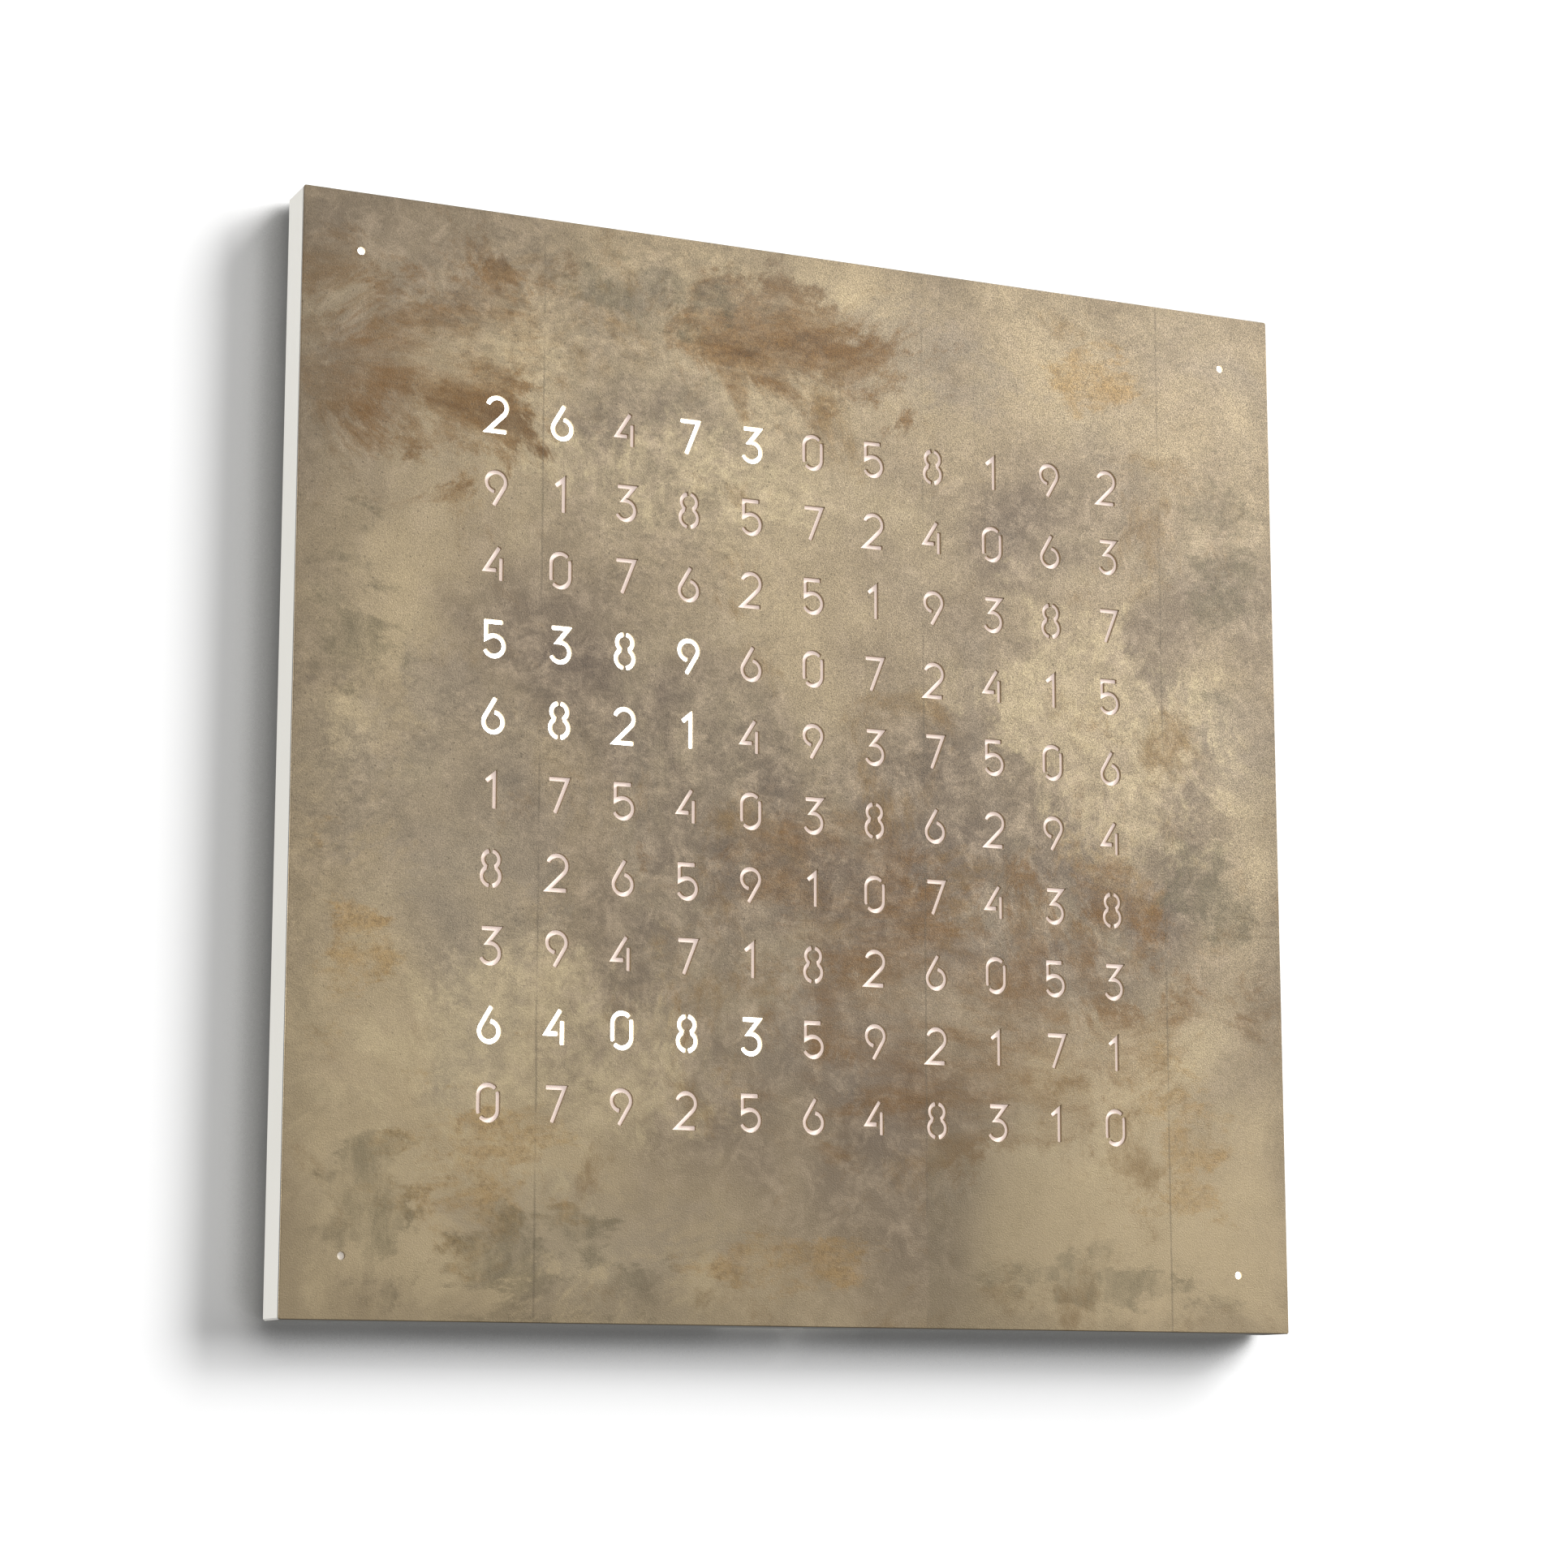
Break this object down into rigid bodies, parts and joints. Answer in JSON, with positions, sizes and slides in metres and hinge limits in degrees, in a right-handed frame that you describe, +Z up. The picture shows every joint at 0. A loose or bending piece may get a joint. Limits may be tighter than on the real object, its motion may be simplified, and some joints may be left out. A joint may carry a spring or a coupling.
{
  "type": "word clock",
  "caption": "Flat square wall clock that lights cut-out characters in a patinated metal cover over a shallow white housing.",
  "frame": {"origin": "on the wall plane, at the centre of the four wall screw holes, which is also the centre of the square face", "axes": "+X to the right as one looks at the face, +Y into the wall, +Z up"},
  "size_m": [0.45, 0.023, 0.45],
  "materials": {
    "patinated_cover": "thin sheet steel with a mottled bronze and gold patina",
    "lacquered_housing": "off-white satin lacquer",
    "rear_sheet": "light grey powder coat",
    "zinc_screws": "zinc-plated steel",
    "brass_inserts": "turned brass",
    "spacer_rubber": "soft black rubber",
    "magnet_nickel": "nickel-plated magnet",
    "opal_diffuser": "opal acrylic sheet, lit from behind in some cells",
    "chamber_white": "moulded white plastic",
    "white_circuit_board": "white solder resist on glass epoxy",
    "green_circuit_board": "green solder resist on glass epoxy",
    "led_packages": "white package with a phosphor window",
    "black_package": "black moulding compound",
    "clear_guide": "clear acrylic",
    "bright_steel": "bright steel",
    "dark_ferrite": "dark grey ferrite",
    "capacitor_sleeve": "aluminium can",
    "black_plastic": "black moulded plastic",
    "connector_white": "natural white nylon",
    "button_plastic": "off-white moulded plastic",
    "copper_winding": "enamelled copper wire",
    "lead_sleeve": "insulated lead",
    "ribbon_grey": "grey flat cable"
  },
  "bodies": {
    "cover": {"front_cover": "patinated_cover", "cover_locating_pins": "bright_steel"},
    "clock_body": {"housing_frame": "lacquered_housing", "rear_cover": "rear_sheet", "rear_cover_screws": "zinc_screws", "threaded_inserts": "brass_inserts", "wall_spacers": "spacer_rubber", "holding_magnets": "magnet_nickel", "diffuser_sheet": "opal_diffuser", "light_chamber_grid": "chamber_white", "led_board": "white_circuit_board", "leds": "led_packages", "light_sensor": "black_package", "corner_light_guides": "clear_guide", "corner_led_boards": "green_circuit_board", "corner_leds": "led_packages", "small_board_screws": "zinc_screws", "led_board_screws": "zinc_screws", "controller_board": "green_circuit_board", "microcontroller_chip": "black_package", "crystal_can": "bright_steel", "led_driver_chips": "black_package", "power_inductor": "dark_ferrite", "buffer_capacitors": "capacitor_sleeve", "coin_cell_holder": "black_plastic", "coin_cell": "bright_steel", "power_jack_housing": "black_plastic", "power_jack_pin": "bright_steel", "board_connectors": "connector_white", "button_switches": "black_plastic", "button_board": "green_circuit_board", "antenna_rod": "dark_ferrite", "antenna_coil": "copper_winding", "antenna_clips": "connector_white", "button_lead": "lead_sleeve", "antenna_lead": "lead_sleeve", "corner_led_leads": "lead_sleeve", "led_ribbon": "ribbon_grey"},
    "mode_key": {"mode_button": "button_plastic", "mode_switch_plunger": "black_plastic"},
    "plus_key": {"plus_button": "button_plastic", "plus_switch_plunger": "black_plastic"},
    "minus_key": {"minus_button": "button_plastic", "minus_switch_plunger": "black_plastic"}
  },
  "joints": [
    {"name": "cover_pull", "type": "slide", "parent": "clock_body", "child": "cover", "axis": [0, -1, 0], "range_m": [0, 0.06]},
    {"name": "mode_press", "type": "slide", "parent": "clock_body", "child": "mode_key", "axis": [-1, 0, 0], "range_m": [0, 0.0008], "stiffness_N_per_m": 2500},
    {"name": "plus_press", "type": "slide", "parent": "clock_body", "child": "plus_key", "axis": [-1, 0, 0], "range_m": [0, 0.0008], "stiffness_N_per_m": 2500},
    {"name": "minus_press", "type": "slide", "parent": "clock_body", "child": "minus_key", "axis": [-1, 0, 0], "range_m": [0, 0.0008], "stiffness_N_per_m": 2500}
  ]
}
